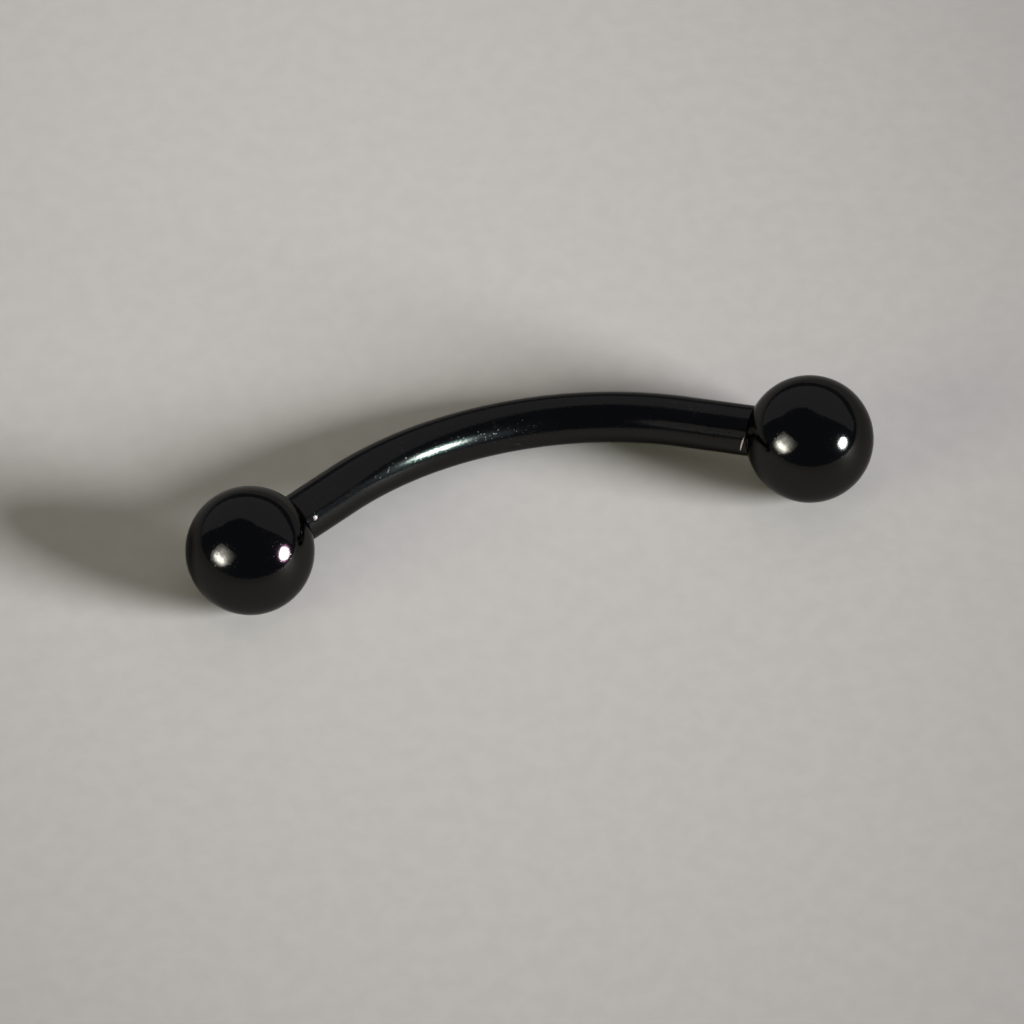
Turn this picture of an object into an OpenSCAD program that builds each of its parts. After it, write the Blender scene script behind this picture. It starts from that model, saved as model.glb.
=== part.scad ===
// Curved barbell for an eyebrow piercing: a bent wire bar with a ball screwed on each end.
// It lies as it would by itself, resting on both balls and on the middle of the bar.
// X runs straight from ball to ball, the bend points to +Y and +Z is up.
// The origin is at the middle of the base of the whole piece. Sizes are in millimetres.

/* [Bar] */
// Diameter of the bar's wire
bar_d = 1.2; // [1:0.1:1.6]
// Clear length between the balls, straight across
clear_len = 10.4; // [9:0.1:14]
// Radius of the bend, to the middle of the wire
bend_r = 7.5; // [5:0.5:8.5]
// Angle that the wire bends through from end to end
bend_angle = 67; // [50:1:75]

/* [Balls] */
// Diameter of each ball
ball_d = 3; // [2.8:0.1:4]
// Width of the flat ring that faces each ball round the bar
ball_flat_w = 0.08; // [0.04:0.02:0.12]
// Bevel that leads into each ball's hole
hole_bevel = 0.06; // [0.02:0.01:0.08]

/* [Screw ends] */
// Depth that the bar's end is thinned by, where its thread is cut
thread_depth = 0.08; // [0.04:0.01:0.12]
// Length of each thinned end inside its ball
pin_len = 1.9; // [1.5:0.05:2]
// Bevel on the tip of each end
tip_bevel = 0.12; // [0.05:0.01:0.2]
// Gap between each end and the hole round it
pin_gap = 0.05; // [0.02:0.01:0.08]
// Gap between the bar's shoulder and the ball
seat_gap = 0.03; // [0.02:0.01:0.05]
// Depth of each hole beyond the tip of the bar's end
hole_spare = 0.1; // [0.05:0.05:0.2]

/* [Hidden] */
$fn = 96;
black_coat = [0.07, 0.07, 0.08];
// Angle of the point that a drill leaves at the bottom of a hole
drill_point_angle = 118;
// How far a cutting shape reaches past the face that it cuts
cut_past = 0.5;
// Length of pin that is sunk into the wire, so that the two are one solid
pin_root_len = 0.5;
// Angle by which each half of the bend runs past the middle before it is cut off there
past_middle_angle = 5;

bar_r = bar_d / 2;
ball_r = ball_d / 2;
half_bend = bend_angle / 2;

// The ball's centre is this far from the middle, along X
ball_x = clear_len / 2 + ball_r;
// Straight length of wire from each end of the bend to its ball's centre
straight_len = (ball_x - bend_r * sin(half_bend)) / cos(half_bend);
// How far the middle of the bend stands off the line between the balls' centres
bow = bend_r * (1 - cos(half_bend)) + straight_len * sin(half_bend);
// The bar's middle sinks until it touches the surface that the balls stand on
lean = asin((ball_r - bar_r) / bow);
// Places the line between the balls so that the origin is under the middle of the whole piece
ball_y = (ball_r - bar_r - bow * cos(lean)) / 2;

flat_r = bar_r + ball_flat_w;
// The flat round the hole lies this far from the ball's centre
flat_off = sqrt(ball_r * ball_r - flat_r * flat_r);
// The bar's shoulder stops this far from the ball's centre
shoulder_off = flat_off + seat_gap;
// The pin starts inside the wire and ends past the shoulder, measured outwards from the ball's centre
pin_root_z = -shoulder_off - pin_root_len;
pin_tip_z = pin_len - shoulder_off;
pin_r = bar_r - thread_depth;
hole_r = pin_r + pin_gap;
hole_depth = seat_gap + pin_len + hole_spare;
drill_point_h = hole_r / tan(drill_point_angle / 2);

// Leans the flat shape of the bar down onto the surface, with the bend's centre at the shape's origin
module laid_down() {
    translate([0, ball_y, ball_r])
        rotate([-lean, 0, 0])
            translate([0, bow - bend_r, 0])
                children();
}

// Turns a shape so that its +X points through the right end of the bend
module at_bend_end() {
    rotate([0, 0, 90 - half_bend])
        children();
}

// Puts a shape at the right ball's centre, with the shape's +Z along the bar and away from it
module at_ball() {
    at_bend_end()
        translate([bend_r, -straight_len, 0])
            rotate([90, 0, 0])
                children();
}

// Half of the bend, a stretch of a round ring that runs a little past the middle
module half_ring() {
    at_bend_end()
        rotate_extrude(angle = half_bend + past_middle_angle)
            translate([bend_r, 0])
                circle(r = bar_r);
}

// The straight end of the wire, with the thinner pin that the ball is screwed onto
module straight_end() {
    at_ball() {
        translate([0, 0, -straight_len])
            cylinder(r = bar_r, h = straight_len - shoulder_off);
        rotate_extrude()
            polygon([
                [0, pin_root_z],
                [pin_r, pin_root_z],
                [pin_r, pin_tip_z - tip_bevel],
                [pin_r - tip_bevel, pin_tip_z],
                [0, pin_tip_z]
            ]);
    }
}

// The right half of the bar, cut square at the middle of the bend
module half_bar() {
    intersection() {
        union() {
            half_ring();
            straight_end();
        }
        translate([0, 0, -bend_r])
            cube(2 * bend_r);
    }
}

// The right ball, with a flat ring and a blind drilled hole on the side that faces the bar
module ball() {
    at_ball()
        difference() {
            sphere(r = ball_r);
            translate([0, 0, -flat_off - ball_d])
                cylinder(r = ball_d, h = ball_d);
            translate([0, 0, -flat_off - cut_past])
                cylinder(r = hole_r, h = hole_depth + cut_past);
            translate([0, 0, -flat_off - cut_past])
                cylinder(r1 = hole_r + hole_bevel + cut_past, r2 = hole_r, h = hole_bevel + cut_past);
            translate([0, 0, hole_depth - flat_off])
                cylinder(r1 = hole_r, r2 = 0, h = drill_point_h);
        }
}

module shaft() {
    color(black_coat)
        laid_down() {
            half_bar();
            mirror([1, 0, 0])
                half_bar();
        }
}

module ball_left() {
    color(black_coat)
        laid_down()
            mirror([1, 0, 0])
                ball();
}

module ball_right() {
    color(black_coat)
        laid_down()
            ball();
}

shaft();
ball_left();
ball_right();
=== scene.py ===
"""Looks of a curved barbell for an eyebrow piercing: a bent wire bar with a screwed ball on each end.

Every surface is worked out with numpy, in metres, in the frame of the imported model. The bar is a round
profile carried along the wire's line, and each ball is a profile turned about the line of its screw.
"""

import logging
from dataclasses import dataclass
from enum import Enum
from functools import cached_property

import bpy
import numpy as np
from bpy.types import Material, Mesh, Node, Object
from bpy.types import NodeSocket as Socket
from mathutils import Matrix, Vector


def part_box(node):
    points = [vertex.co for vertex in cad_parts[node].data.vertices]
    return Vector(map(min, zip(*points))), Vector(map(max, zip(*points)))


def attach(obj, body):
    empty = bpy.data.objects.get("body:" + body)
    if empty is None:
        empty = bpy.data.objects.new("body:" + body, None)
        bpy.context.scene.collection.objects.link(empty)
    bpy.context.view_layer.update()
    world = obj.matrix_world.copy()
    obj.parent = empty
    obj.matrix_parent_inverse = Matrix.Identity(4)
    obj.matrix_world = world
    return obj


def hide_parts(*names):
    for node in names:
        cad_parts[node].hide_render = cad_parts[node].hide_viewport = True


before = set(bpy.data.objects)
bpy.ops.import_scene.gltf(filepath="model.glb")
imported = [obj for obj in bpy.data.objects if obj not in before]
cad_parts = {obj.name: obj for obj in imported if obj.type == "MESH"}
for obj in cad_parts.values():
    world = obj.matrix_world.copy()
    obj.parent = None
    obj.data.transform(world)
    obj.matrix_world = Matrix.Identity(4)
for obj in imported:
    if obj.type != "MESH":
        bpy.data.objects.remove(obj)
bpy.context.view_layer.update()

log = logging.getLogger("barbell")

Colour = tuple[float, float, float]

MM = 0.001
MICRON = 0.001 * MM
FULL_TURN = 2 * np.pi
BLACK = (0.0, 0.0, 0.0)
WHITE = (1.0, 1.0, 1.0)
# Nearly all values of soft noise lie between these two
NOISE_SPAN = (0.3, 0.7)
# Share of a dot's radius over which the dot is whole
DOT_CORE = 0.2
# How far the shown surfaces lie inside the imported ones, so that they never pass them
INSET = 0.5 * MICRON
# How far a ball's worked-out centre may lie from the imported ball's
FIT_TOLERANCE = 0.01 * MM


class End(Enum):
    """The two ends of the bar, each with the sign of its X."""

    LEFT = -1
    RIGHT = 1

    @property
    def word(self) -> str:
        """The end's name, as the names of nodes and bodies have it."""
        return self.name.lower()


@dataclass(frozen=True)
class Sizes:
    """Driving sizes of the barbell in metres, the same as in the part's source.

    The worked-out sizes below follow from them as they do there.
    """

    bar_r: float = 0.6 * MM
    ball_r: float = 1.5 * MM
    clear_len: float = 10.4 * MM
    bend_r: float = 7.5 * MM
    half_bend: float = np.radians(33.5)
    ball_flat_w: float = 0.08 * MM
    hole_bevel: float = 0.06 * MM
    thread_depth: float = 0.08 * MM
    pin_len: float = 1.9 * MM
    pin_gap: float = 0.05 * MM
    seat_gap: float = 0.03 * MM
    tip_bevel: float = 0.12 * MM
    hole_spare: float = 0.1 * MM
    drill_point_angle: float = np.radians(118)

    @property
    def ball_x(self) -> float:
        """Distance of a ball's centre from the middle, along X."""
        return self.clear_len / 2 + self.ball_r

    @property
    def straight_len(self) -> float:
        """Straight length of wire from an end of the bend to its ball's centre."""
        return (self.ball_x - self.bend_r * np.sin(self.half_bend)) / np.cos(self.half_bend)

    @property
    def arc_half(self) -> float:
        """Length of half of the bend, along the wire."""
        return self.bend_r * self.half_bend

    @property
    def to_ball(self) -> float:
        """Length of wire from the middle of the bar to a ball's centre."""
        return self.arc_half + self.straight_len

    @property
    def bow(self) -> float:
        """How far the middle of the bend stands off the line between the balls' centres."""
        return self.bend_r * (1 - np.cos(self.half_bend)) + self.straight_len * np.sin(self.half_bend)

    @property
    def lean(self) -> float:
        """Angle by which the bar sinks until its middle touches the surface."""
        return float(np.arcsin((self.ball_r - self.bar_r) / self.bow))

    @property
    def ball_y(self) -> float:
        """Y of the balls' centres, with the origin under the middle of the whole piece."""
        return (self.ball_r - self.bar_r - self.bow * np.cos(self.lean)) / 2

    @property
    def flat_r(self) -> float:
        """Outer radius of the flat ring on a ball."""
        return self.bar_r + self.ball_flat_w

    @property
    def flat_off(self) -> float:
        """Distance of the flat ring from its ball's centre."""
        return float(np.sqrt(self.ball_r**2 - self.flat_r**2))

    @property
    def shoulder_off(self) -> float:
        """Distance of the bar's shoulder from the ball's centre."""
        return self.flat_off + self.seat_gap

    @property
    def hole_r(self) -> float:
        """Radius of the hole in a ball."""
        return self.bar_r - self.thread_depth + self.pin_gap

    @property
    def hole_depth(self) -> float:
        """Depth of the hole in a ball, from its flat ring."""
        return self.seat_gap + self.pin_len + self.hole_spare

    @property
    def hole_end(self) -> float:
        """Distance of the end of the hole's straight wall from the ball's centre, away from the bar."""
        return self.hole_depth - self.flat_off

    @property
    def point_h(self) -> float:
        """Height of the point that the drill left beyond the hole's straight wall."""
        return self.hole_r / np.tan(self.drill_point_angle / 2)


@dataclass(frozen=True)
class Wire:
    """The line that the middle of the bar's wire follows, by its length s from the middle of the bar."""

    sizes: Sizes

    def line(self, s: np.ndarray) -> tuple[np.ndarray, np.ndarray, np.ndarray]:
        """Points of the line and the two directions across it.

        The bend turns by s over its radius, and no further than its end. What is left of s runs on straight.
        The flat shape is then leaned down about the line between the balls.

        Args:
            s: lengths along the wire from its middle, negative to the left.

        Returns:
            The points, the directions away from the bend's centre and the directions up off the bend's plane,
            each with one row for each length.
        """
        z = self.sizes
        turn = np.clip(s, -z.arc_half, z.arc_half) / z.bend_r
        run = s - turn * z.bend_r
        across = z.bend_r * np.sin(turn) + run * np.cos(turn)
        off = z.bow - z.bend_r * (1 - np.cos(turn)) - run * np.sin(turn)
        along_x = np.array([1.0, 0.0, 0.0])
        bow_way = np.array([0.0, np.cos(z.lean), -np.sin(z.lean)])
        plane_up = np.array([0.0, np.sin(z.lean), np.cos(z.lean)])
        points = np.outer(across, along_x) + np.outer(off, bow_way) + np.array([0.0, z.ball_y, z.ball_r])
        outwards = np.outer(np.sin(turn), along_x) + np.outer(np.cos(turn), bow_way)
        return points, outwards, np.broadcast_to(plane_up, outwards.shape)

    def seat(self, end: End) -> tuple[np.ndarray, np.ndarray, np.ndarray, np.ndarray]:
        """Centre of a ball, the axis of its screw away from the bar, and two directions across the axis.

        Args:
            end: the end of the bar that the ball is on.

        Returns:
            The centre, then three directions that form a right-handed set with the axis last.
        """
        points, outwards, _ = self.line(np.array([end.value * self.sizes.to_ball, 0.0]))
        half = self.sizes.half_bend
        lean = self.sizes.lean
        axis = np.array([end.value * np.cos(half), -np.sin(half) * np.cos(lean), np.sin(half) * np.sin(lean)])
        side = outwards[0]
        return points[0], side, np.cross(axis, side), axis


def rounded(corners: np.ndarray, radii: np.ndarray, steps: int = 5) -> np.ndarray:
    """Rounds the inner corners of an open outline.

    Each corner is cut back by its radius along both sides, and a quadratic curve with the corner as its
    middle handle joins the two cuts.

    Args:
        corners: the outline, one row for each point.
        radii: how far each inner corner is cut back, 0 for a sharp one.
        steps: stretches in each curve.

    Returns:
        The outline with its curves, one row for each point.
    """
    t = np.linspace(0, 1, steps + 1)[:, None]
    pieces = [corners[:1]]
    for before, corner, after, cut in zip(corners[:-2], corners[1:-1], corners[2:], radii, strict=True):
        if cut == 0:
            pieces.append(corner[None])
            continue
        first = corner + (before - corner) * cut / np.linalg.norm(before - corner)
        last = corner + (after - corner) * cut / np.linalg.norm(after - corner)
        pieces.append((1 - t) ** 2 * first + 2 * t * (1 - t) * corner + t**2 * last)
    pieces.append(corners[-1:])
    return np.concatenate(pieces)


def refined(outline: np.ndarray, longest: float) -> np.ndarray:
    """Splits the stretches of an outline evenly, so that none is longer than a given length.

    Args:
        outline: the outline, one row for each point.
        longest: the longest stretch that may stay.

    Returns:
        The outline with the added points.
    """
    lengths = np.linalg.norm(np.diff(outline, axis=0), axis=1)
    counts = np.maximum(1, np.ceil(lengths / longest)).astype(int)
    start = np.repeat(np.arange(len(counts)), counts)
    within = np.arange(counts.sum()) - np.repeat(np.cumsum(counts) - counts, counts)
    share = (within / counts[start])[:, None]
    points = outline[start] * (1 - share) + outline[start + 1] * share
    return np.concatenate([points, outline[-1:]])


def eased(x: np.ndarray) -> np.ndarray:
    """Smooth step: 0 below 0, 1 above 1, and 3x^2 - 2x^3 between."""
    x = np.clip(x, 0, 1)
    return x * x * (3 - 2 * x)


@dataclass(frozen=True)
class Thread:
    """A right-handed screw thread: its pitch, the depth of its groove and the flat shares of a pitch.

    It fades in and out over a length, and an outline that carries it has some steps to each pitch.
    """

    pitch: float = 0.25 * MM
    depth: float = 0.09 * MM
    crest_share: float = 0.16
    root_share: float = 0.2
    fade: float = 0.1 * MM
    steps: int = 14

    @property
    def step(self) -> float:
        """Longest stretch of an outline that carries the thread."""
        return self.pitch / self.steps

    def height(self, along: np.ndarray, angle: np.ndarray) -> np.ndarray:
        """Height of the thread above its root.

        The share of a pitch that has passed is the length along the axis over the pitch, less the angle over
        a full turn. The height is a triangle wave of that share, cut off flat at the crest and at the root.

        Args:
            along: lengths along the axis.
            angle: angles about the axis.

        Returns:
            Heights from 0 to the thread's depth.
        """
        share = np.mod(along / self.pitch - angle / FULL_TURN, 1.0)
        wave = np.abs(2 * share - 1)
        return self.depth * eased((wave - self.root_share) / (1 - self.root_share - self.crest_share))

    def cut(self, along: np.ndarray, first: float, last: float) -> np.ndarray:
        """Share of its height that the thread has at places along it, eased in and out at its two ends."""
        return eased((along - first) / self.fade) * eased((last - along) / self.fade)


@dataclass(frozen=True)
class Surface:
    """A closed surface made of rings of points that run from one pole to another."""

    rings: np.ndarray
    first_pole: np.ndarray
    last_pole: np.ndarray
    wear: np.ndarray

    def mesh(self, name: str) -> Mesh:
        """Makes the surface into a mesh with smooth shading, a UV map and the wear of each point.

        Ring i holds points i * n to i * n + n - 1, and each face joins two neighbours of one ring to the same
        two of the next. The last two points are the poles, joined to the first and last ring by triangles.

        Args:
            name: the mesh's name.

        Returns:
            The mesh, whose faces point outwards when the rings turn right-handed about the way they run.
        """
        rows, n, _ = self.rings.shape
        points = np.concatenate([self.rings.reshape(-1, 3), self.first_pole[None], self.last_pole[None]])
        row, column = np.meshgrid(np.arange(rows - 1), np.arange(n), indexing="ij")
        here, beside = row * n + column, row * n + (column + 1) % n
        quads = np.stack([here, beside, beside + n, here + n], axis=-1).reshape(-1, 4)
        ring = np.arange(n)
        following = (ring + 1) % n
        start, end = rows * n, rows * n + 1
        last = (rows - 1) * n
        fans = np.concatenate(
            [
                np.stack([np.full(n, start), following, ring], axis=-1),
                np.stack([last + ring, last + following, np.full(n, end)], axis=-1),
            ]
        )
        mesh = bpy.data.meshes.new(name)
        mesh.vertices.add(len(points))
        mesh.vertices.foreach_set("co", points.astype(np.float32).ravel())
        corners = np.concatenate([quads.ravel(), fans.ravel()])
        mesh.loops.add(len(corners))
        mesh.loops.foreach_set("vertex_index", corners.astype(np.int32))
        starts = np.concatenate([4 * np.arange(len(quads)), quads.size + 3 * np.arange(len(fans))])
        mesh.polygons.add(len(starts))
        mesh.polygons.foreach_set("loop_start", starts.astype(np.int32))
        mesh.update(calc_edges=True)
        mesh.shade_smooth()
        self._lay_out(mesh, quads, rows, n)
        worn = mesh.attributes.new("wear", "FLOAT", "POINT")
        worn.data.foreach_set("value", np.append(self.wear.ravel(), [0.0, 0.0]).astype(np.float32))
        return mesh

    def _lay_out(self, mesh: Mesh, quads: np.ndarray, rows: int, n: int) -> None:
        """Adds the UV map: U goes once round the rings and V from the first ring to the last.

        Args:
            mesh: the mesh to add it to.
            quads: its four-sided faces, which come before its triangles.
            rows: how many rings it has.
            n: how many points a ring has.
        """
        column = np.tile(np.arange(n), rows - 1)
        u_quads = np.stack([column, column + 1, column + 1, column], axis=-1) / n
        v_quads = (quads // n) / (rows - 1)
        ring = np.arange(n)
        u_first = np.stack([ring + 0.5, ring + 1, ring], axis=-1) / n
        u_last = np.stack([ring, ring + 1, ring + 0.5], axis=-1) / n
        u = np.concatenate([u_quads.ravel(), u_first.ravel(), u_last.ravel()])
        v = np.concatenate([v_quads.ravel(), np.zeros(3 * n), np.ones(3 * n)])
        layer = mesh.uv_layers.new(name="wrap")
        layer.data.foreach_set("uv", np.stack([u, v], axis=-1).astype(np.float32).ravel())


class Graph:
    """A new material, whose nodes are added one at a time with their inputs."""

    def __init__(self, name: str) -> None:
        """Makes the material with no nodes.

        Args:
            name: the material's name.
        """
        self.material = bpy.data.materials.new(name)
        self.material.use_nodes = True
        self.tree = self.material.node_tree
        self.tree.nodes.clear()

    @cached_property
    def place(self) -> Socket:
        """The coordinates of the piece that the material is on."""
        return self.add("ShaderNodeTexCoord").outputs["Object"]

    def add(self, kind: str, settings: dict[str, object] | None = None, **inputs: object) -> Node:
        """Adds a node.

        Args:
            kind: the node's type, as Blender names it.
            settings: the node's own settings, by name.
            **inputs: its inputs, each a value or the socket that feeds it. They go by name with _ for a
                space, or by place, as at_0.

        Returns:
            The node.
        """
        node = self.tree.nodes.new(kind)
        for key, value in (settings or {}).items():
            setattr(node, key, value)
        for key, value in inputs.items():
            name = key.replace("_", " ")
            socket = node.inputs[int(key[3:])] if key.startswith("at_") else node.inputs[name]
            if isinstance(value, Socket):
                self.tree.links.new(value, socket)
            else:
                socket.default_value = value
        return node

    def maths(self, operation: str, first: object, second: object = 0.0) -> Socket:
        """Works out a sum of two numbers or sockets and returns its result."""
        node = self.add("ShaderNodeMath", {"operation": operation}, at_0=first, at_1=second)
        return node.outputs[0]

    def plus(self, total: object, part: Socket, times: float) -> Socket:
        """Adds a part, times a number, to a total and returns the new total."""
        return self.maths("ADD", total, self.maths("MULTIPLY", part, times))

    def vector(self, operation: str, first: object, second: object = BLACK) -> Socket:
        """Works out a sum of two vectors and returns its result, a number for a length or a distance."""
        node = self.add("ShaderNodeVectorMath", {"operation": operation}, at_0=first, at_1=second)
        return node.outputs["Value" if operation in ("LENGTH", "DISTANCE") else "Vector"]

    def ramp(self, value: Socket, low: float, high: float, start: float = 0.0, end: float = 1.0) -> Socket:
        """Maps low to start and high to end, smoothly and no further, and returns the result."""
        node = self.add(
            "ShaderNodeMapRange",
            {"interpolation_type": "SMOOTHSTEP"},
            Value=value,
            From_Min=low,
            From_Max=high,
            To_Min=start,
            To_Max=end,
        )
        return node.outputs[0]

    def noise(self, size: float, detail: float, place: Socket | None = None) -> Socket:
        """Adds soft noise with patches of about a given size and returns its value, from 0 to 1."""
        node = self.add("ShaderNodeTexNoise", Vector=place or self.place, Scale=1 / size, Detail=detail)
        return node.outputs["Fac"]

    def dots(self, spacing: float, radius: float, share: float) -> Socket:
        """Adds scattered round dots.

        Args:
            spacing: size of the cells that hold at most one dot each.
            radius: radius of a dot.
            share: share of the cells that hold one.

        Returns:
            1 over the core of a dot, falling smoothly to 0 at its edge.
        """
        cells = self.add("ShaderNodeTexVoronoi", Vector=self.place, Scale=1 / spacing)
        pick = self.add("ShaderNodeSeparateColor", Color=cells.outputs["Color"]).outputs["Red"]
        edge = radius / spacing
        inside = self.ramp(cells.outputs["Distance"], DOT_CORE * edge, edge, 1.0, 0.0)
        return self.maths("MULTIPLY", inside, self.maths("LESS_THAN", pick, share))

    def mixed(self, share: Socket, first: object, second: object) -> Socket:
        """Mixes two colours by a share and returns the colour."""
        node = self.add("ShaderNodeMix", {"data_type": "RGBA"}, at_0=share, at_6=first, at_7=second)
        return node.outputs[2]

    def finish(self, shader: Node) -> Material:
        """Takes a shader's output for the surface and returns the material."""
        self.add("ShaderNodeOutputMaterial", Surface=shader.outputs[0])
        return self.material


@dataclass(frozen=True)
class Coat:
    """A thin glossy black coat on steel, with grain, dust and hairlines, and bare steel where it is worn.

    It mirrors as a very dark metal does. Towards the outline it mirrors more, by the edge colour times the
    fifth power of how far the surface turns away, and the edge tint holds that back. Sizes are in metres,
    heights and depths in micrometres, and each pair gives the two values that something runs between.
    """

    name: str
    colour: Colour = (0.0283, 0.0279, 0.0265)
    edge_colour: float = 0.75
    edge_power: float = 5.0
    edge_tint: float = 0.3
    steel: Colour = (0.95, 0.76, 0.68)
    dust: Colour = (0.12, 0.14, 0.17)
    roughness: float = 0.09
    swell_size: float = 1.1 * MM
    swell_shares: tuple[float, float] = (0.85, 1.2)
    worn_roughness: float = 0.2
    wear_depth_um: float = 10.0
    chip_size: float = 0.05 * MM
    chip_share: float = 0.5
    bare_span: tuple[float, float] = (0.6, 0.85)
    grain_size: float = 0.055 * MM
    grain_height_um: float = 0.8
    pebble_spacing: float = 0.07 * MM
    pebble_radius: float = 0.024 * MM
    pebble_share: float = 0.45
    pebble_height_um: float = 0.9
    pebble_roughness: float = 0.14
    speck_spacing: float = 0.2 * MM
    speck_radius: float = 0.014 * MM
    speck_share: float = 0.1
    speck_height_um: float = 1.0
    dust_roughness: float = 0.45
    hairline_share: float = 0.0
    hairline_len: float = 0.16 * MM
    hairline_width: float = 0.02 * MM
    hairline_span: tuple[float, float] = (0.66, 0.74)
    patch_size: float = 0.9 * MM
    patch_span: tuple[float, float] = (0.54, 0.66)

    def build(self) -> Material:
        """Builds the coat's material.

        Returns:
            The material, which reads the piece's own coordinates and its wear.
        """
        g = Graph(self.name)
        speck = g.dots(self.speck_spacing, self.speck_radius, self.speck_share)
        pebble = g.dots(self.pebble_spacing, self.pebble_radius, self.pebble_share)
        dusty = g.maths("MAXIMUM", speck, self._hairlines(g))
        wear = g.add("ShaderNodeAttribute", {"attribute_name": "wear"}).outputs["Fac"]
        chips = g.maths("MULTIPLY", g.noise(self.chip_size, detail=2.0), self.chip_share)
        bare = g.ramp(g.maths("ADD", wear, chips), *self.bare_span)
        facing = g.add("ShaderNodeLayerWeight", Blend=0.5).outputs["Facing"]
        edge = g.maths("MULTIPLY", g.maths("POWER", facing, self.edge_power), self.edge_colour)
        coated = g.mixed(dusty, g.vector("ADD", edge, self.colour), (*self.dust, 1.0))
        swell = g.noise(self.swell_size, detail=1.0)
        rough = g.ramp(swell, *NOISE_SPAN, *(self.roughness * share for share in self.swell_shares))
        rough = g.plus(rough, pebble, self.pebble_roughness)
        rough = g.plus(rough, dusty, self.dust_roughness)
        rough = g.plus(rough, bare, self.worn_roughness - self.roughness)
        height = g.maths("MULTIPLY", g.noise(self.grain_size, detail=2.0), self.grain_height_um)
        height = g.plus(height, pebble, self.pebble_height_um)
        height = g.plus(height, speck, self.speck_height_um)
        height = g.plus(height, wear, -self.wear_depth_um)
        bump = g.add("ShaderNodeBump", Strength=1.0, Distance=MICRON, Height=height)
        shader = g.add(
            "ShaderNodeBsdfPrincipled",
            Base_Color=g.mixed(bare, coated, (*self.steel, 1.0)),
            Metallic=1.0,
            Roughness=rough,
            Specular_Tint=(self.edge_tint, self.edge_tint, self.edge_tint, 1.0),
            Normal=bump.outputs["Normal"],
        )
        return g.finish(shader)

    def _hairlines(self, g: Graph) -> Socket:
        """Draws fine lines along X, which show only in patches.

        Args:
            g: the coat's material and nodes.

        Returns:
            The hairlines' share on a line, and 0 elsewhere.
        """
        per_length = (1 / self.hairline_len, 1 / self.hairline_width, 1 / self.hairline_width)
        drawn = g.add("ShaderNodeMapping", Vector=g.place, Scale=per_length).outputs["Vector"]
        lines = g.ramp(g.noise(1.0, detail=1.0, place=drawn), *self.hairline_span)
        patches = g.ramp(g.noise(self.patch_size, detail=1.0), *self.patch_span)
        return g.maths("MULTIPLY", g.maths("MULTIPLY", lines, patches), self.hairline_share)


def dressed(mesh: Mesh, material: Material) -> Object:
    """Puts a mesh into the scene with one material.

    Args:
        mesh: the mesh, whose name the object takes.
        material: the material of all its faces.

    Returns:
        The object, at the origin.
    """
    mesh.materials.append(material)
    piece = bpy.data.objects.new(mesh.name, mesh)
    bpy.context.scene.collection.objects.link(piece)
    return piece


@dataclass(frozen=True)
class WornLine:
    """A thin line across the right end of the bar where the coat is worn off.

    It runs from one place to another, each an angle about the wire and a distance from the ball's centre.
    Its half width changes evenly from the first value to the second, and it fades at both ends.
    """

    start: tuple[float, float] = (np.radians(146), 1.378 * MM)
    stop: tuple[float, float] = (np.radians(214), 1.58 * MM)
    half_widths: tuple[float, float] = (0.0238 * MM, 0.0098 * MM)
    fade: float = np.radians(28)

    def wear(self, out: np.ndarray, angle: np.ndarray) -> np.ndarray:
        """Wear by the line at places on the right end.

        It falls off as the exponential of the negative square of the distance over the half width.

        Args:
            out: lengths outwards along the wire from the ball's centre.
            angle: angles about the wire.

        Returns:
            Wear from 0 to 1.
        """
        share = np.clip((angle - self.start[0]) / (self.stop[0] - self.start[0]), 0, 1)
        off = self.start[1] + share * (self.stop[1] - self.start[1])
        half_width = self.half_widths[0] + share * (self.half_widths[1] - self.half_widths[0])
        along = eased((angle - self.start[0]) / self.fade) * eased((self.stop[0] - angle) / self.fade)
        return along * np.exp(-(((out + off) / half_width) ** 2))


@dataclass(frozen=True)
class Nick:
    """A small nick in the coat near the left end of the bar.

    It is given by its angle about the wire, its distance from the ball's centre and its radius.
    """

    angle: float = np.radians(157)
    off: float = 1.63 * MM
    radius: float = 0.065 * MM

    def wear(self, out: np.ndarray, angle: np.ndarray, bar_r: float) -> np.ndarray:
        """Wear by the nick, by lengths outwards along the wire from the ball's centre and angles about it."""
        apart = np.hypot(out + self.off, (angle - self.angle) * bar_r)
        return np.exp(-((apart / self.radius) ** 2))


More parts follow.
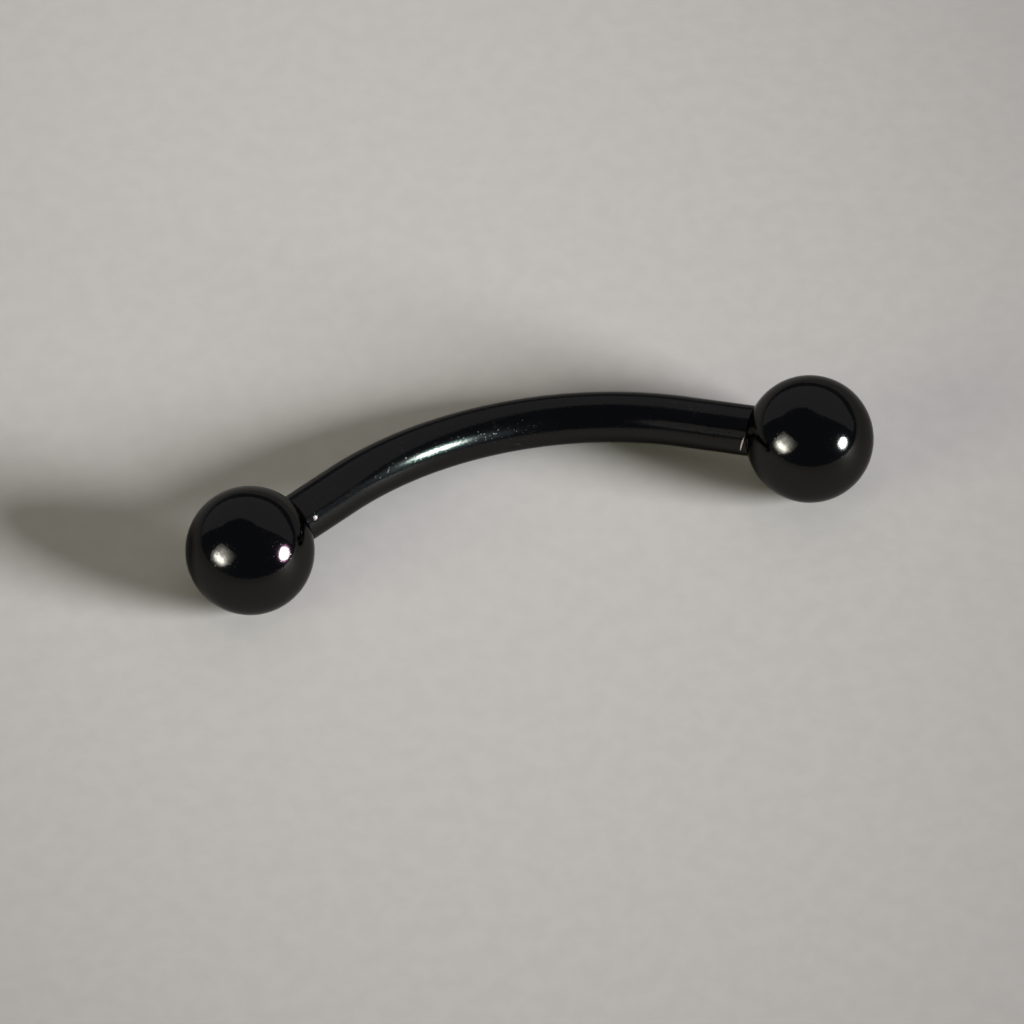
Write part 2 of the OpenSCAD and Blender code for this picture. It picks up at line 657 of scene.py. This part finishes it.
@dataclass(frozen=True)
class CurvedBar:
    """The bent bar: a plain round wire with a shoulder and a threaded pin at each end.

    The profile is a list of places along the wire, each with its radius, from the left tip to the right one.
    """

    wire: Wire
    thread: Thread
    columns: int = 160
    edge_round: float = 0.02 * MM
    neck_len: float = 0.14 * MM
    crest_gap: float = 0.015 * MM
    tip_plain_share: float = 0.4
    last_ring_r: float = 0.08 * MM
    fine_len: float = 0.5 * MM
    longest_plain: float = 0.055 * MM
    crest_wear: float = 0.5
    shoulder_wear: float = 0.25
    shoulder_worn_len: float = 0.02 * MM

    @property
    def crest_r(self) -> float:
        """Outer radius of the thread, which clears the ball's hole."""
        return self.wire.sizes.hole_r - self.crest_gap

    def end_profile(self) -> np.ndarray:
        """Profile of one end, from just before its shoulder to its tip.

        Returns:
            Rows of length outwards from the ball's centre and radius.
        """
        z = self.wire.sizes
        root_r = self.crest_r - self.thread.depth
        tip = z.pin_len - z.shoulder_off
        corners = np.array(
            [
                [-z.shoulder_off - self.fine_len, z.bar_r],
                [-z.shoulder_off, z.bar_r],
                [-z.shoulder_off, root_r],
                [tip - z.tip_bevel, root_r],
                [tip, root_r - z.tip_bevel],
                [tip, self.last_ring_r],
            ]
        )
        radii = np.full(len(corners) - 2, self.edge_round)
        return refined(rounded(corners, radii), self.thread.step)

    def profile(self) -> np.ndarray:
        """Profile of the whole bar.

        Returns:
            Rows of length along the wire from its middle and radius.
        """
        end = self.end_profile()
        right = np.stack([self.wire.sizes.to_ball + end[:, 0], end[:, 1]], axis=-1)
        left = right[::-1] * np.array([-1, 1])
        reach = right[0, 0]
        middle = refined(np.array([left[-1], [reach, self.wire.sizes.bar_r]]), self.longest_plain)
        return np.concatenate([left[:-1], middle[:-1], right])

    def surface(self) -> Surface:
        """Carries the profile along the wire.

        A point is the wire's own point, plus its radius times the cosine of its angle outwards from the
        bend and the sine upwards. The thread's height adds to the radius.

        Returns:
            The closed surface of the bar.
        """
        z = self.wire.sizes
        outline = self.profile()
        s, plain = outline[:, :1], outline[:, 1:]
        angle = np.arange(self.columns)[None] * FULL_TURN / self.columns
        out = np.abs(s) - z.to_ball
        tip = z.pin_len - z.shoulder_off
        cut = self.thread.cut(out, self.neck_len - z.shoulder_off, tip - self.tip_plain_share * z.tip_bevel)
        ridge = cut * self.thread.height(s, angle)
        radius = plain - INSET + ridge
        crest = ridge / self.thread.depth
        shoulder = np.exp(-(((out + z.shoulder_off) / self.shoulder_worn_len) ** 2))
        marks = np.where(s > 0, WornLine().wear(out, angle), Nick().wear(out, angle, z.bar_r))
        wear = np.clip(self.crest_wear * crest**3 + self.shoulder_wear * shoulder + marks, 0, 1)
        points, outwards, upwards = self.wire.line(outline[:, 0])
        spokes = np.cos(angle)[..., None] * outwards[:, None] + np.sin(angle)[..., None] * upwards[:, None]
        rings = points[:, None] + radius[..., None] * spokes
        return Surface(rings, points[0], points[-1], wear)

    def build(self, coat: Material) -> Object:
        """Makes the bar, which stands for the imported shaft.

        Args:
            coat: the bar's material.

        Returns:
            The bar's object.
        """
        piece = dressed(self.surface().mesh("curved_bar"), coat)
        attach(piece, "bar")
        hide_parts("shaft")
        return piece


@dataclass(frozen=True)
class ScrewBall:
    """A ball with a flat ring round a bevelled, threaded blind hole, turned about the line of its screw.

    The first ring of points lies a small share of the drilled point's height below its tip. Next to the flat
    ring a small turn of the ball's arc gives way to a rounded edge, and the arc stops just before its pole.
    """

    wire: Wire
    thread: Thread
    end: End
    round_r: float
    columns: int = 192
    arc_steps: int = 150
    first_ring_share: float = 0.04
    edge_turn: float = 0.05
    last_turn: float = 0.012
    edge_round: float = 0.012 * MM
    bottom_round: float = 0.03 * MM
    groove_share: float = 0.6
    mouth_share: float = 0.6
    bottom_plain: float = 0.1 * MM
    edge_wear: float = 0.3
    edge_worn_len: float = 0.03 * MM

    def profile(self) -> np.ndarray:
        """Profile of the ball from the drill's point at the bottom of its hole to the far side of the ball.

        The ball's own stretch is an arc of its radius about its centre.

        Returns:
            Rows of length outwards from the ball's centre and radius.
        """
        z = self.wire.sizes
        arc_start = np.pi - np.arcsin(z.flat_r / self.round_r) - self.edge_turn
        hole = np.array(
            [
                [z.hole_end + z.point_h * (1 - self.first_ring_share), z.hole_r * self.first_ring_share],
                [z.hole_end, z.hole_r],
                [z.hole_bevel - z.flat_off, z.hole_r],
                [-z.flat_off, z.hole_r + z.hole_bevel],
                [-z.flat_off, z.flat_r],
                [self.round_r * np.cos(arc_start), self.round_r * np.sin(arc_start)],
            ]
        )
        cuts = np.array([self.bottom_round, self.edge_round, self.edge_round, self.edge_round])
        mouth = refined(rounded(hole, cuts), self.thread.step)
        sweep = np.linspace(arc_start, self.last_turn, self.arc_steps)[1:]
        arc = self.round_r * np.stack([np.cos(sweep), np.sin(sweep)], axis=-1)
        return np.concatenate([mouth, arc])

    def surface(self) -> Surface:
        """Turns the profile about the axis of the screw.

        A point is the ball's centre, plus its length along the axis, plus its radius times the cosine and
        sine of its angle along the two directions across. The thread's groove adds to the hole's radius.

        Returns:
            The closed surface of the ball.
        """
        z = self.wire.sizes
        outline = self.profile()
        centre, side, up, axis = self.wire.seat(self.end)
        along, plain = outline[:, :1], outline[:, 1:]
        angle = np.arange(self.columns)[None] * FULL_TURN / self.columns
        in_hole = np.arange(len(outline))[:, None] < np.argmin(outline[:, 0])
        mouth = self.mouth_share * z.hole_bevel - z.flat_off
        cut = self.thread.cut(along, mouth, z.hole_end - self.bottom_plain)
        groove = np.where(in_hole, cut * self.thread.height(along, angle), 0.0)
        radius = plain + self.groove_share * groove
        spokes = np.cos(angle)[..., None] * side + np.sin(angle)[..., None] * up
        rings = centre + along[..., None] * axis + radius[..., None] * spokes
        edge = np.hypot(along + z.flat_off, plain - z.flat_r) / self.edge_worn_len
        wear = np.broadcast_to(self.edge_wear * np.exp(-(edge**2)), radius.shape)
        bottom = centre + axis * (z.hole_end + z.point_h)
        return Surface(rings, bottom, centre + axis * self.round_r, wear)

    def build(self, coat: Material) -> Object:
        """Makes the ball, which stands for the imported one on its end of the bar.

        Args:
            coat: the ball's material.

        Returns:
            The ball's object.
        """
        piece = dressed(self.surface().mesh(f"screw_ball_{self.end.word}"), coat)
        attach(piece, f"{self.end.word}_end")
        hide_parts(f"ball_{self.end.word}")
        return piece


def set_down(thing: Object, place: np.ndarray, axes: tuple[np.ndarray, ...]) -> None:
    """Puts the camera or a lamp into the scene.

    Args:
        thing: the camera or lamp.
        place: where it goes.
        axes: the directions that its own X, Y and Z take.
    """
    turned = Matrix(np.stack(axes, axis=-1).tolist()).to_4x4()
    thing.matrix_world = Matrix.Translation(place.tolist()) @ turned
    bpy.context.scene.collection.objects.link(thing)


@dataclass(frozen=True)
class Viewpoint:
    """The camera: which way it looks, how far off it is, and where the middle of its picture falls."""

    elevation: float = np.radians(51.768)
    yaw: float = np.radians(14.257)
    distance: float = 164.094 * MM
    middle_right: float = -0.2219 * MM
    middle_up: float = -0.2033 * MM
    focal_px: float = 7000.0
    picture_px: float = 1024.0
    sensor_mm: float = 36.0
    sees_from: float = 0.005
    sees_to: float = 20.0

    def axes(self) -> tuple[np.ndarray, np.ndarray, np.ndarray]:
        """The camera's directions.

        Returns:
            The directions to the right and up in the picture, and straight away from the camera.
        """
        level = np.cos(self.elevation)
        away = np.array([np.sin(self.yaw) * level, np.cos(self.yaw) * level, -np.sin(self.elevation)])
        right = np.array([np.cos(self.yaw), -np.sin(self.yaw), 0.0])
        return right, np.cross(right, away), away

    def direction(self, azimuth: np.ndarray, elevation: np.ndarray) -> np.ndarray:
        """Directions from the barbell, by azimuth and elevation.

        Args:
            azimuth: degrees to the right of straight away from the camera.
            elevation: degrees above the level.

        Returns:
            Unit directions, in the last axis of the array.
        """
        a, e = np.radians(azimuth)[..., None], np.radians(elevation)[..., None]
        up = np.array([0.0, 0.0, 1.0])
        right, _, _ = self.axes()
        return np.cos(e) * (np.cos(a) * np.cross(up, right) + np.sin(a) * right) + np.sin(e) * up

    def build(self) -> Object:
        """Makes the scene's camera.

        Returns:
            The camera's object.
        """
        right, up, away = self.axes()
        data = bpy.data.cameras.new("camera")
        data.sensor_width = self.sensor_mm
        data.lens = self.focal_px / self.picture_px * self.sensor_mm
        data.clip_start = self.sees_from
        data.clip_end = self.sees_to
        camera = bpy.data.objects.new("camera", data)
        place = self.middle_right * right + self.middle_up * up - self.distance * away
        set_down(camera, place, (right, up, -away))
        bpy.context.scene.camera = camera
        return camera


def linked(lit: list[Object], lamp: Object) -> None:
    """Lets a lamp or card light only some pieces.

    Args:
        lit: the pieces that it lights.
        lamp: the lamp or card.
    """
    group = bpy.data.collections.new(f"{lamp.name}_lit")
    for piece in lit:
        group.objects.link(piece)
    lamp.light_linking.receiver_collection = group


def staged(mesh: Mesh, glow: Socket | float, colour: Colour, g: Graph) -> Object:
    """Makes a glowing sheet of the studio, which only mirrors see.

    Args:
        mesh: the sheet's mesh.
        glow: how brightly it glows.
        colour: the colour of its light.
        g: its material, which still needs a shader.

    Returns:
        The sheet's object.
    """
    shine = g.add("ShaderNodeEmission", Color=(*colour, 1.0), Strength=glow)
    sheet = dressed(mesh, g.finish(shine))
    sheet.visible_camera = False
    sheet.visible_diffuse = False
    sheet.visible_shadow = False
    return sheet


@dataclass(frozen=True)
class Glow:
    """A round patch of light on a card: its direction, its reach in degrees and its brightness."""

    aim: tuple[float, float]
    reach: float
    bright: float


@dataclass(frozen=True)
class Card:
    """A card of light, given by its corners as azimuth and elevation, with brighter patches on it.

    The whole card glows by its base, and dim folds take up to the uneven share off its light.
    """

    name: str
    corners: tuple[tuple[float, float], ...]
    glows: tuple[Glow, ...]
    base: float
    colour: Colour
    uneven: float
    fold_size: float = 0.03
    fold_span: tuple[float, float] = (0.35, 0.6)
    distance: float = 0.5

    def build(self, view: Viewpoint, lit: list[Object]) -> None:
        """Makes the card, which only the mirrors of some pieces see.

        Its corners lie in their directions at the card's distance, and the card is flat to its middle. A
        patch falls off as the exponential of the negative square of the distance over the reach.

        Args:
            view: the camera, which the directions are measured from.
            lit: the pieces that mirror it.
        """
        aims = view.direction(*np.array(self.corners).T)
        middle = aims.mean(axis=0)
        middle /= np.linalg.norm(middle)
        points = aims / (aims @ middle)[:, None] * self.distance
        mesh = bpy.data.meshes.new(self.name)
        mesh.from_pydata(points.tolist(), [], [list(range(len(points)))])
        g = Graph(self.name)
        strength = self.base
        for glow in self.glows:
            aim = view.direction(*np.array([glow.aim]).T)[0]
            spot = aim / (aim @ middle) * self.distance
            apart = g.vector("DISTANCE", g.place, spot.tolist())
            share = g.maths("DIVIDE", apart, self.distance * np.tan(np.radians(glow.reach)))
            fall = g.maths("EXPONENT", g.maths("MULTIPLY", g.maths("POWER", share, 2.0), -1.0))
            strength = g.plus(strength, fall, glow.bright)
        folds = g.ramp(g.noise(self.fold_size, detail=1.0), *self.fold_span, 1.0 - self.uneven)
        card = staged(mesh, g.maths("MULTIPLY", strength, folds), self.colour, g)
        linked(lit, card)


class Lights(Enum):
    """What a lamp does: whether it is mirrored, and whether it lights matt surfaces."""

    MIRRORED = (True, False)
    MATT = (False, True)
    BOTH = (True, True)


@dataclass(frozen=True)
class Lamp:
    """A soft oval lamp, given by its direction and by half of the angles that it spans."""

    name: str
    aim: tuple[float, float]
    half_angles: tuple[float, float]
    bright: float
    colour: Colour
    distance: float = 0.5
    lights: Lights = Lights.MIRRORED

    def build(self, view: Viewpoint, lit: list[Object]) -> None:
        """Makes the lamp, whose energy grows with its size so that it looks as bright at any.

        Args:
            view: the camera, which the direction is measured from.
            lit: the pieces that it lights.
        """
        azimuth, elevation = self.aim
        towards = view.direction(np.array(azimuth), np.array(elevation))
        across = view.direction(np.array(azimuth + 90.0), np.array(0.0))
        data = bpy.data.lights.new(self.name, "AREA")
        data.shape = "ELLIPSE"
        data.size, data.size_y = (2 * self.distance * np.tan(np.radians(half)) for half in self.half_angles)
        data.energy = self.bright * np.pi * data.size * data.size_y
        data.color = self.colour
        lamp = bpy.data.objects.new(self.name, data)
        set_down(lamp, towards * self.distance, (across, np.cross(towards, across), towards))
        lamp.visible_camera = False
        lamp.visible_glossy, lamp.visible_diffuse = self.lights.value
        linked(lit, lamp)


@dataclass(frozen=True)
class Backdrop:
    """A curved sheet round the barbell, whose lower and upper edges are given at some azimuths.

    Each row of edges holds an azimuth, the elevation of the lower edge and that of the upper edge.
    """

    name: str
    edges: tuple[tuple[float, float, float], ...]
    glow: float
    colour: Colour
    distance: float = 0.6
    grid: tuple[int, int] = (97, 17)

    def build(self, view: Viewpoint) -> None:
        """Makes the sheet, which the camera itself doesn't see.

        A point of its grid lies in the direction of its azimuth and elevation, and the edges between two
        rows are straight.

        Args:
            view: the camera, which the directions are measured from.
        """
        stops, lower, upper = np.array(self.edges).T
        across, upwards = np.meshgrid(*(np.linspace(0, 1, count) for count in self.grid), indexing="ij")
        azimuth = stops[0] + across * (stops[-1] - stops[0])
        low, high = np.interp(azimuth, stops, lower), np.interp(azimuth, stops, upper)
        points = view.direction(azimuth, low + upwards * (high - low)) * self.distance
        rows, columns = across.shape
        i, j = np.meshgrid(np.arange(rows - 1), np.arange(columns - 1), indexing="ij")
        first = i * columns + j
        faces = np.stack([first, first + 1, first + columns + 1, first + columns], axis=-1)
        mesh = bpy.data.meshes.new(self.name)
        mesh.from_pydata(points.reshape(-1, 3).tolist(), [], faces.reshape(-1, 4).tolist())
        staged(mesh, self.glow, self.colour, Graph(self.name))


@dataclass(frozen=True)
class Floor:
    """The plain pale surface that the barbell lies on, a flat round sheet with a fine nap.

    Painted shade: its colour is palest at the centre of a painted pool of light and darkens away from it, as
    light falling off across the floor would. The darkening is a rate times the square of the distance over the
    pool's reach, along X and Y each with its own, and a set share at most.
    """

    radius: float = 1.2
    rim_points: int = 96
    colour: Colour = (0.42, 0.411, 0.398)
    nap_size: float = 0.5 * MM
    nap_contrast: float = 0.02
    # Centre and reach of the painted pool of light, then how fast and how far the painted shade darkens the
    # colour away from it
    light_pool_centre: tuple[float, float, float] = (-2.5 * MM, 6.8 * MM, 0.0)
    light_pool_reach: tuple[float, float] = (12.5 * MM, 18.0 * MM)
    painted_shade_rate: float = 0.12
    painted_shade_limit: float = 0.3
    roughness: float = 0.7
    gloss: float = 0.05

    def build(self) -> Object:
        """Makes the floor.

        Returns:
            The floor's object.
        """
        angle = np.arange(self.rim_points) * FULL_TURN / self.rim_points
        rim = self.radius * np.stack([np.cos(angle), np.sin(angle), np.zeros_like(angle)], axis=-1)
        mesh = bpy.data.meshes.new("floor")
        mesh.from_pydata(rim.tolist(), [], [list(range(len(rim)))])
        floor = dressed(mesh, self._material())
        return floor

    def _material(self) -> Material:
        """Builds the floor's material.

        Returns:
            The material, which reads the floor's own coordinates.
        """
        g = Graph("plain_pale_floor")
        nap = g.ramp(g.noise(self.nap_size, detail=3.0), *NOISE_SPAN)
        deep = tuple(c * (1 - self.nap_contrast) for c in self.colour)
        pale = tuple(c * (1 + self.nap_contrast) for c in self.colour)
        napped = g.mixed(nap, (*deep, 1.0), (*pale, 1.0))
        # Painted shade: the base colour darkens with distance from a painted pool of light, as light falling
        # off would
        per_reach = (1 / self.light_pool_reach[0], 1 / self.light_pool_reach[1], 0.0)
        from_light_pool = g.vector("SUBTRACT", g.place, self.light_pool_centre)
        reach = g.vector("LENGTH", g.vector("MULTIPLY", from_light_pool, per_reach))
        shade = g.maths("MULTIPLY", g.maths("POWER", reach, 2.0), self.painted_shade_rate)
        shader = g.add(
            "ShaderNodeBsdfPrincipled",
            Base_Color=g.mixed(g.maths("MINIMUM", shade, self.painted_shade_limit), napped, (*BLACK, 1.0)),
            Roughness=self.roughness,
            Specular_IOR_Level=self.gloss,
        )
        return g.finish(shader)


@dataclass(frozen=True)
class Studio:
    """The floor, the backdrop, the dark room and the soft lights round the barbell."""

    view: Viewpoint
    bar: Object
    balls: list[Object]
    air: Colour = (0.5, 0.49, 0.475)

    def build(self) -> None:
        """Makes the stage and the air, which only the camera sees."""
        floor = Floor().build()
        self._hang_sheets()
        self._light_floor(floor)
        self._light_pieces()
        world = bpy.data.worlds.new("air")
        bpy.context.scene.world = world
        world.use_nodes = True
        world.node_tree.nodes["Background"].inputs["Color"].default_value = (*self.air, 1.0)
        seen = world.cycles_visibility
        seen.diffuse = seen.glossy = seen.transmission = seen.scatter = False

    def _hang_sheets(self) -> None:
        """Hangs the backdrop, the low rise behind it and the dark room round all, which the coat mirrors."""
        backdrop = (
            (-72.0, 2.0, 40.0), (-68.0, 2.0, 44.0), (-50.0, 3.0, 56.0), (-36.0, 5.0, 63.0),
            (-12.0, 15.0, 72.0), (8.0, 19.5, 75.5), (40.0, 20.0, 77.0), (58.0, 19.0, 76.0),
            (74.0, 12.0, 70.0), (84.0, 11.0, 62.0), (88.0, 12.0, 46.0),
        )
        Backdrop("backdrop", backdrop, glow=0.43, colour=(1.0, 0.985, 1.07)).build(self.view)
        rise = (
            (-80.0, -1.0, 0.5), (-36.0, -1.0, 0.5), (-10.0, -1.0, 1.5), (6.0, -1.0, 8.0),
            (56.0, -1.0, 8.0), (90.0, -1.0, 3.0), (110.0, -1.0, 0.5),
        )
        Backdrop("floor_rise", rise, glow=0.4, colour=(1.0, 0.97, 0.92), distance=0.9).build(self.view)
        room = ((-180.0, -2.0, 89.9), (180.0, -2.0, 89.9))
        Backdrop("dark_room", room, glow=0.1, colour=(1.0, 1.08, 1.4), distance=1.1).build(self.view)

    def _light_floor(self, floor: Object) -> None:
        """Lights the floor from the right, from the left and from above.

        Args:
            floor: the floor, which alone these lamps light.
        """
        lamps = (
            Lamp("floor_light_right", (112.0, 18.0), (11.0, 10.5), 64.5, (1.0, 1.0, 1.02), 1.0, Lights.BOTH),
            Lamp("floor_light_left", (-122.0, 22.0), (14.0, 12.0), 6.0, (1.0, 0.99, 0.72), 0.5, Lights.MATT),
            Lamp("floor_light_above", (20.0, 75.0), (40.0, 40.0), 0.46, (1.0, 0.93, 0.9), 0.5, Lights.MATT),
        )
        for lamp in lamps:
            lamp.build(self.view, [floor])

    def _light_pieces(self) -> None:
        """Sets the lights that the coat mirrors.

        The balls share the window on the left. Every other lamp is one piece's own, because each piece lay a
        little askew. The coloured ones are the fringes round the bright ones.
        """
        left, right = self.balls
        window = (
            (-152.0, 38.0), (-130.0, 42.0), (-106.0, 38.0), (-105.0, 9.0), (-114.0, 4.0),
            (-126.0, 5.0), (-144.0, 20.0),
        )
        panes = (
            Glow((-116.0, 16.8), 5.5, 34.0),
            Glow((-123.0, 17.3), 5.5, 38.0),
            Glow((-130.0, 17.8), 5.5, 28.0),
            Glow((-124.5, 23.8), 12.0, 13.0),
        )
        card = Card("ball_light_left", window, panes, base=0.5, colour=(1.0, 0.98, 0.9), uneven=0.45)
        card.build(self.view, self.balls)
        lamps = (
            (Lamp("left_ball_light", (109.4, 16.0), (11.0, 10.3), 42.0, WHITE), left),
            (Lamp("left_ball_fringe", (109.4, 16.0), (13.6, 12.8), 5.0, (1.0, 0.3, 0.9)), left),
            (Lamp("right_ball_light", (114.4, 18.7), (9.2, 8.6), 42.0, WHITE), right),
            (Lamp("right_ball_fringe", (114.4, 18.7), (11.4, 10.6), 3.0, (0.5, 0.95, 1.0)), right),
            (Lamp("bar_light_right", (127.0, 27.0), (9.4, 8.8), 46.0, WHITE, 0.4), self.bar),
            (Lamp("bar_light_fringe", (127.0, 26.3), (11.5, 14.5), 4.5, (0.15, 1.0, 0.8), 0.4), self.bar),
            (Lamp("bar_light_halo", (130.0, 22.0), (28.0, 20.0), 0.42, (0.7, 0.82, 1.0), 0.4), self.bar),
            (Lamp("bar_light_tail", (97.0, 10.0), (16.0, 12.0), 0.28, (0.75, 0.88, 1.0), 0.4), self.bar),
            (Lamp("bar_light_left", (-138.0, 24.0), (13.0, 15.0), 0.4, (1.0, 0.96, 0.96), 0.4), self.bar),
            (Lamp("bar_light_low", (-90.0, 13.0), (17.0, 13.0), 4.0, (1.0, 0.95, 0.88), 0.4), self.bar),
        )
        for lamp, piece in lamps:
            lamp.build(self.view, [piece])


def round_r(end: End) -> float:
    """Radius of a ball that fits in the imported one: half of the shortest side of its box, less the inset."""
    low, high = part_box(f"ball_{end.word}")
    return float((np.array(high) - np.array(low)).min() / 2) - INSET


def check_fit(wire: Wire) -> None:
    """Stops the script if a ball's worked-out centre isn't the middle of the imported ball's box.

    Args:
        wire: the line that the balls sit on.
    """
    for end in End:
        low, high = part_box(f"ball_{end.word}")
        middle = (np.array(low) + np.array(high)) / 2
        miss = np.linalg.norm(middle - wire.seat(end)[0])
        log.info("%s ball is %.4f mm from the packed one", end.word, miss / MM)
        if miss > FIT_TOLERANCE:
            raise ValueError(f"the {end.word} ball's sizes differ from the packed model's")


def main() -> None:
    """Builds the barbell and its studio, and reports each piece."""
    logging.basicConfig(level=logging.INFO, format="%(name)s: %(message)s")
    bpy.context.scene.view_settings.view_transform = "Standard"
    bpy.context.scene.cycles.use_denoising = True
    wire = Wire(Sizes())
    check_fit(wire)
    bar_coat = Coat(
        "black_bar_coat",
        roughness=0.135,
        grain_height_um=2.2,
        pebble_height_um=2.5,
        pebble_share=0.5,
        pebble_roughness=0.08,
        speck_share=0.42,
        dust_roughness=0.65,
        hairline_share=0.28,
    )
    bar = CurvedBar(wire, Thread()).build(bar_coat.build())
    ball_coat = Coat("black_ball_coat").build()
    balls = [ScrewBall(wire, Thread(), end, round_r(end)).build(ball_coat) for end in End]
    for piece in [bar, *balls]:
        log.info("%s has %d faces", piece.name, len(piece.data.polygons))
    view = Viewpoint()
    view.build()
    Studio(view, bar, balls).build()


if __name__ == "__main__":
    main()
